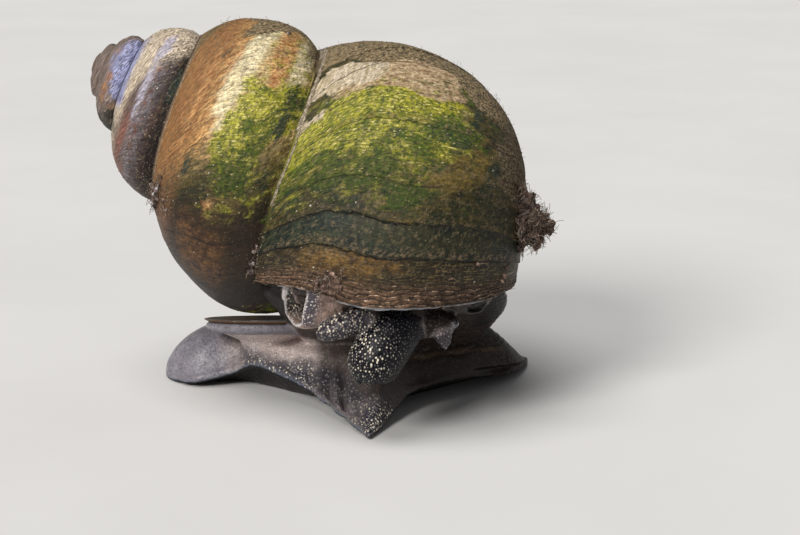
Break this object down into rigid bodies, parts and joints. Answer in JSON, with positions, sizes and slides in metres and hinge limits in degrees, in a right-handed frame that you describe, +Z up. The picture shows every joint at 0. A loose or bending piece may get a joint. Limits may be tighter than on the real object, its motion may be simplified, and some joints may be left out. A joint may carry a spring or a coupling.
{
  "type": "river snail (viviparus acerosus)",
  "caption": "Adult river snail crawling: a banded, wide-whorled shell over a broad foot, with snout, tentacles, neck lobes and a horny operculum.",
  "frame": {"origin": "the point of the floor under the middle of the snail's box", "axes": "+X runs from the shell's apex and the tail to the front of the foot, +Y is the side away from the head and the outer lip, +Z is up"},
  "size_m": [0.0428, 0.0338, 0.0363],
  "materials": {
    "shell": "fine growth lines, olive and tan, green film of algae, eroded tip",
    "operculum": "thin horny plate with fine rings",
    "flesh": "wet skin, brown-grey with pale cells and specks",
    "eye": "black and glossy"
  },
  "bodies": {
    "root": {"shell": "shell", "operculum": "operculum", "opercular_lobe": "flesh", "mantle": "flesh", "neck": "flesh", "head": "flesh", "snout": "flesh", "tentacle_right": "flesh", "tentacle_left": "flesh", "eye_right": "eye", "eye_left": "eye", "lappet_right": "flesh", "lappet_left": "flesh", "foot_tail": "flesh", "foot_middle": "flesh", "foot_front": "flesh"}
  },
  "joints": []
}
